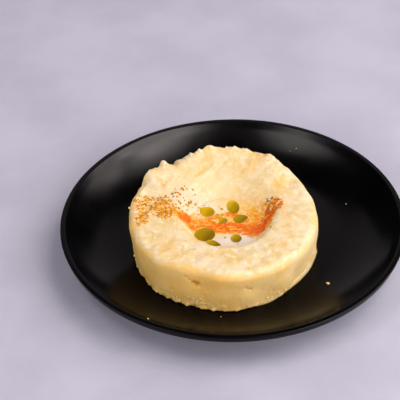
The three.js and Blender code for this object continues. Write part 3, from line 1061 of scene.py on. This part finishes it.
def surface_of(*pieces):
    """The joined surface of some pieces, for setting things on."""
    joined = bmesh.new()
    for piece in pieces:
        joined.from_mesh(piece.data)
    surface = BVHTree.FromBMesh(joined)
    joined.free()
    return surface


def facing(direction):
    """The turn that makes the Z axis point this way."""
    return direction.to_track_quat("Z", "Y").to_matrix().to_4x4()


def add_ball(shape, fineness, place, size, lie=Matrix()):
    """Adds a ball at a place in mm, stretched to a size in mm and turned to lie this way."""
    matrix = Matrix.Translation(place * MM) @ lie @ Matrix.Diagonal((*(size * MM), 1))
    return bmesh.ops.create_icosphere(shape, subdivisions=fineness, radius=1, matrix=matrix)["verts"]


food_surface = surface_of(mash, cream)
beads_shape = bmesh.new()
for x, y, radius in OIL_BEADS:
    place, normal = height_on(food_surface, x, y)
    add_ball(beads_shape, 3, place, OIL_BEAD_FORM * radius, facing(normal))
beads = made("oil_beads", beads_shape, oil)
marked(beads, "deep", lambda point: OIL_BEAD_DEPTH)


# ---- Flakes and specks ----
# Dry paprika and chilli flakes, shaken over the left side of the rim and over the right end of the
# trail, and specks of dried green herb. The larger flakes lie where the solid part has them.

FLAKE_PATCHES = (  # x, y, half length, half width, turn, count, lowest and highest tone
    (-37, -5, 13, 7.5, -10, 30, 0.55, 1),
    (21, -5.5, 3.5, 5.5, -30, 16, 0, 0.6),
)
FLAKE_SIZE = (1.2, 2.1)
FLAKE_WIDTH = (0.6, 0.9)
FLAKE_THICKNESS = 0.7
FLAKE_DRYNESS = 0.8  # how far they have shrunk
FLAKE_TONE_STEP = 0.37
CHIP_WIDTH = (0.5, 0.95)  # as a share of its length, as the next
CHIP_THICKNESS = 0.16
CHIP_WARP = 0.16
CHIP_GRAIN = 0.6 * MM
CHIP_LIFT = 0.2  # as a share of its thickness
DUST = (  # x, y, half length, half width, turn, count, smallest, largest, lowest and highest tone
    (-40, -3.5, 11.5, 9.5, -10, 120, 0.8, 2.3, 0.6, 1),
    (-33.5, -6, 4, 8, 0, 46, 0.9, 2.5, 0.5, 0.95),
    (-46.5, -13, 3, 6, 0, 26, 0.7, 2, 0.6, 1),
    (21.5, -4, 4.2, 5.8, -30, 84, 0.9, 2.3, 0.15, 0.75),
    (16.5, -11, 7, 2.6, 58, 34, 0.7, 1.8, 0.1, 0.6),
    (10, -17.5, 5, 4, 20, 20, 0.6, 1.6, 0.1, 0.6),
    (-6, -13.5, 18, 4, -14, 30, 0.4, 1.1, 0.2, 0.7),
    (-22, 2, 10, 7, 0, 26, 0.7, 2.2, 0.5, 1),
    (8, -4, 12, 5, 0, 30, 0.5, 1.3, 0.2, 0.9),
    (19.2, -21.6, 0.8, 0.6, 0, 2, 1.2, 1.5, 0, 0.1),
    (-4, -10, 46, 44, 0, 24, 0.2, 0.5, 0.4, 1),
)
HERBS = (  # the same
    (-25, 7, 6.5, 8.5, 0, 26, 0.9, 2.1, 0, 0.8),
    (-38, -3, 12, 9, 0, 50, 0.7, 1.8, 0, 0.8),
    (-31, -8, 6, 5, 0, 16, 0.6, 1.5, 0, 0.8),
    (-10, 0.5, 9, 4, 0, 14, 0.8, 1.7, 0.1, 1),
    (20, 0.5, 5, 3.5, 0, 14, 0.9, 2, 0, 0.9),
    (-4, -10, 40, 38, 0, 20, 0.25, 0.6, 0, 1),
)
noise.seed_set(1)  # unless it is set, noise_vector starts from the clock and differs in every run


def place_in(draw, x, y, along, across, turn):
    """A place in an oval patch: evenly spread, then turned and moved with the patch."""
    spread = math.sqrt(next(draw))
    heading = 2 * math.pi * next(draw)
    offset = Vector((along * math.cos(heading), across * math.sin(heading))) * spread
    offset.rotate(Matrix.Rotation(math.radians(turn), 2))
    return offset + Vector((x, y))


def add_chip(shape, tones, tone, place, normal, size, turn):
    """One chip: a flattened twenty-sided lump, lying on the surface."""
    lie = facing(normal) @ Matrix.Rotation(turn, 4, "Z")
    for vert in add_ball(shape, 1, place + normal * size.z * CHIP_LIFT, size / 2, lie):
        vert.co += noise.noise_vector(vert.co / CHIP_GRAIN) * size.x * CHIP_WARP * MM
        vert[tones] = tone


def scattered(name, seed, fields, material):
    """Chips strewn over oval patches, as one piece with a tone for each chip."""
    draw = seeded(seed)
    shape = bmesh.new()
    tones = shape.verts.layers.float.new("tone")
    for *patch, count, smallest, largest, low_tone, high_tone in fields:
        for _ in range(count):
            where = place_in(draw, *patch)
            length = lerp(smallest, largest, next(draw) ** 2)
            width = length * lerp(*CHIP_WIDTH, next(draw))
            turn = 2 * math.pi * next(draw)
            tone = lerp(low_tone, high_tone, next(draw))
            place, normal = height_on(food_surface, where.x, where.y)
            if place is None or place.z < CREAM_Z - 0.5:
                continue
            size = Vector((length, width, length * CHIP_THICKNESS))
            add_chip(shape, tones, tone, place, normal, size, turn)
    return made(name, shape, material)


def dried_flakes(name, stops, roughness):
    """Dry chips: each takes its own tone between the stops' colours."""
    material, tree, shader, where = new_material(name)
    ramp = node(tree, "ShaderNodeValToRGB", {"Fac": mark(tree, "tone")})
    ramp.color_ramp.elements[0].color = stops[0]
    ramp.color_ramp.elements[1].color = stops[-1]
    for index, stop in enumerate(stops[1:-1], start=1):
        ramp.color_ramp.elements.new(index / (len(stops) - 1)).color = stop
    mottle = ranged(tree, grain(tree, where, 0.5), 0.35, 0.65, 0, 0.22)
    feed(shader, {
        "Base Color": mixed(tree, mottle, ramp.outputs["Color"], stops[0]),
        "Normal": bumped(tree, grain(tree, where, 0.3), 0.08),
        "Roughness": roughness,
        "Specular IOR Level": 0.08,
    })
    return material


PAPRIKA_TONES = (srgb(212, 76, 0), srgb(230, 106, 0), srgb(226, 144, 6), srgb(236, 174, 30))
HERB_TONES = (srgb(150, 104, 10), srgb(198, 150, 26), srgb(224, 188, 76))
paprika = dried_flakes("paprika_flakes", PAPRIKA_TONES, 0.7)
herb = dried_flakes("dried_herb", HERB_TONES, 0.75)

flake_draw = seeded(5)
flake_shape = bmesh.new()
flake_tones = flake_shape.verts.layers.float.new("tone")
for x, y, along, across, turn, count, low_tone, high_tone in FLAKE_PATCHES:
    for index in range(count):
        where = place_in(flake_draw, x, y, along, across, turn)
        length = lerp(*FLAKE_SIZE, next(flake_draw))
        width = length * lerp(*FLAKE_WIDTH, next(flake_draw))
        next(flake_draw)  # the tilt of the solid part's flake; this one lies flat
        heading = 2 * math.pi * next(flake_draw)
        tone = lerp(low_tone, high_tone, index * FLAKE_TONE_STEP % 1)
        place, normal = height_on(food_surface, where.x, where.y)
        size = Vector((length, width, FLAKE_THICKNESS)) * FLAKE_DRYNESS
        add_chip(flake_shape, flake_tones, tone, place, normal, size, heading)
made("chilli_flakes", flake_shape, paprika)
scattered("paprika_dust", 41, DUST, paprika)
scattered("herb_specks", 43, HERBS, herb)


# ---- Crumbs ----
# Bits of potato that came loose as the mould was lifted off: nibs that cling to the side and its
# foot, and a few stray crumbs on the plate.

PLATE_CRUMBS = (  # x, y, radius
    (46.2, -41.5, 0.9),
    (62.8, 21.1, 0.3),
    (39.4, 67.2, 0.3),
    (36, 66.6, 0.22),
    (-43.1, -72.3, 0.35),
    (-8.2, -62.9, 0.25),
)
SIDE_CRUMBS = (  # angle, spread, count, lowest, highest
    (-111, 11, 30, 8, 11.5),
    (-114, 14, 20, 5.7, 9),
    (-134, 14, 16, 5.7, 9.5),
    (-156, 12, 6, 5.7, 8),
    (-62, 10, 8, 5.7, 9),
    (30, 60, 14, 5.7, 10),
    (130, 50, 14, 5.7, 10),
)
NIBS = (  # angle, height, radius
    (171, 27, 0.6),
    (-170, 9, 1),
    (-137, 6, 1.1),
    (-52, 7, 1),
)
CRUMB_RADIUS = (0.35, 0.85)
CRUMB_FORM = Vector((1, 1, 0.7))
CRUMB_WARP = 0.6
CRUMB_GRAIN = 0.8 * MM
CRUMB_LIFT = 0.4
CRUMB_SINK = 0.15


def add_crumb(shape, place, radius):
    for vert in add_ball(shape, 2, place, CRUMB_FORM * radius):
        vert.co += noise.noise_vector(vert.co / CRUMB_GRAIN) * radius * CRUMB_WARP * MM


plate_surface = surface_of(plate)
crumb_shape = bmesh.new()
for x, y, radius in PLATE_CRUMBS:
    place, _ = height_on(plate_surface, x, y)
    add_crumb(crumb_shape, place + Vector((0, 0, radius * CRUMB_LIFT)), radius)
for angle, z, radius in NIBS:
    add_crumb(crumb_shape, side_point(angle, z, foot_bite(angle, z)), radius)
crumb_draw = seeded(71)
for at, spread, count, lowest, highest in SIDE_CRUMBS:
    for _ in range(count):
        angle = at + spread * (next(crumb_draw) + next(crumb_draw) - 1)
        z = lerp(lowest, highest, next(crumb_draw))
        radius = lerp(*CRUMB_RADIUS, next(crumb_draw) ** 2)
        add_crumb(crumb_shape, side_point(angle, z, CRUMB_SINK + foot_bite(angle, z)), radius)
crumbs = made("potato_crumbs", crumb_shape, potato)
marked(crumbs, "moulded", lambda point: 0.8)


# ---- Table, light and camera ----
# A plain pale table, one broad soft window from the right, weaker light from the left and the
# front, panels that only gleam in the plate, and a camera that looks down on it from the diner's side.

TABLE_SIZE = 6
CAMERA_DISTANCE = 600 * MM
CAMERA_ELEVATION = math.radians(38.19)
CAMERA_ROLL = math.radians(-1.89)
CAMERA_SLIDE = Vector((-16.57, 8.82)) * MM  # to the right and up, in the picture's plane
LENS = 103.17
SENSOR_WIDTH = 36
ROOM_COLOUR = (0.92, 0.88, 1.0, 1)
ROOM_BRIGHTNESS = 0.05
LIGHT_DISTANCE = 1.5
LIGHTS = (  # name, azimuth, elevation, width and height in degrees, brightness, colour
    ("window", -14, 27, 75, 40, 3.4, (1.0, 0.97, 0.94)),
    ("upper_window", 0, 63, 90, 28, 3.1, (1.0, 0.94, 0.88)),
    ("front_fill", -84, 20, 80, 30, 1.8, (1.0, 0.97, 0.94)),
    ("left_panel", -168, 66, 46, 18, 4.2, (1.0, 0.95, 0.92)),
    ("left_fill", -165, 25, 60, 30, 1.9, (1.0, 0.97, 0.95)),
    ("back_wall", 90, 26, 44, 36, 0.8, (1.0, 0.9, 0.92)),
)
GLEAMS = (  # panels that only show as reflections, in the same way
    ("right_gleam", -12, 59, 56, 26, 19, (1.0, 0.9, 0.87)),
    ("low_gleam", 24, 45, 34, 18, 10, (1.0, 0.9, 0.87)),
    ("top_right_gleam", -14, 70, 100, 14, 9, (1.0, 0.88, 0.86)),
    ("left_gleam", -178, 68, 60, 20, 10.5, (1.0, 0.92, 0.9)),
)
TABLE = (srgb(177, 174, 195), srgb(187, 184, 205))
TABLE_ROUGHNESS = (0.6, 0.75)


def pale_table():
    material, tree, shader, where = new_material("pale_table")
    cloud = grain(tree, where, 60, detail=5)
    feed(shader, {
        "Base Color": mixed(tree, ranged(tree, cloud, 0.35, 0.65), *TABLE),
        "Roughness": ranged(tree, cloud, 0.3, 0.7, *TABLE_ROUGHNESS),
        "Normal": bumped(tree, grain(tree, where, 7, detail=5), 0.3),
    })
    return material


def add_panel(name, azimuth, elevation, width, height, brightness, colour, lighting):
    """A bright panel that faces the plate; it lights things, or shows only as a reflection."""
    rise = math.radians(elevation)
    towards = polar(ORIGIN, math.cos(rise), azimuth, math.sin(rise))
    light = bpy.data.lights.new(name, "AREA")
    light.shape = "RECTANGLE"
    light.size = 2 * LIGHT_DISTANCE * math.tan(math.radians(width / 2)) * math.cos(rise)
    light.size_y = 2 * LIGHT_DISTANCE * math.tan(math.radians(height / 2))
    light.energy = brightness * math.pi * light.size * light.size_y
    light.color = colour
    lamp = bpy.data.objects.new(name, light)
    lamp.matrix_world = Matrix.Translation(towards * LIGHT_DISTANCE) @ facing(towards)
    lamp.visible_diffuse = lighting
    scene.collection.objects.link(lamp)


table_shape = bmesh.new()
bmesh.ops.create_grid(table_shape, x_segments=1, y_segments=1, size=TABLE_SIZE / 2)
table = formed("table", table_shape, pale_table())

for panel in LIGHTS:
    add_panel(*panel, lighting=True)
for panel in GLEAMS:
    add_panel(*panel, lighting=False)

world = bpy.data.worlds.new("room")
scene.world = world
world.use_nodes = True
feed(world.node_tree.nodes["Background"], {"Color": ROOM_COLOUR, "Strength": ROOM_BRIGHTNESS})

camera_data = bpy.data.cameras.new("camera")
camera_data.sensor_width = SENSOR_WIDTH
camera_data.lens = LENS
camera_data.clip_start = 0.01
camera = bpy.data.objects.new("camera", camera_data)
look = Vector((0, math.cos(CAMERA_ELEVATION), -math.sin(CAMERA_ELEVATION)))
lift = Vector((0, math.sin(CAMERA_ELEVATION), math.cos(CAMERA_ELEVATION)))
stand = Vector((CAMERA_SLIDE.x, 0, PLATE_HEIGHT)) + lift * CAMERA_SLIDE.y - look * CAMERA_DISTANCE
tilt = Matrix.Rotation(math.pi / 2 - CAMERA_ELEVATION, 4, "X") @ Matrix.Rotation(CAMERA_ROLL, 4, "Z")
camera.matrix_world = Matrix.Translation(stand) @ tilt
scene.collection.objects.link(camera)
scene.camera = camera
scene.view_settings.view_transform = "Standard"
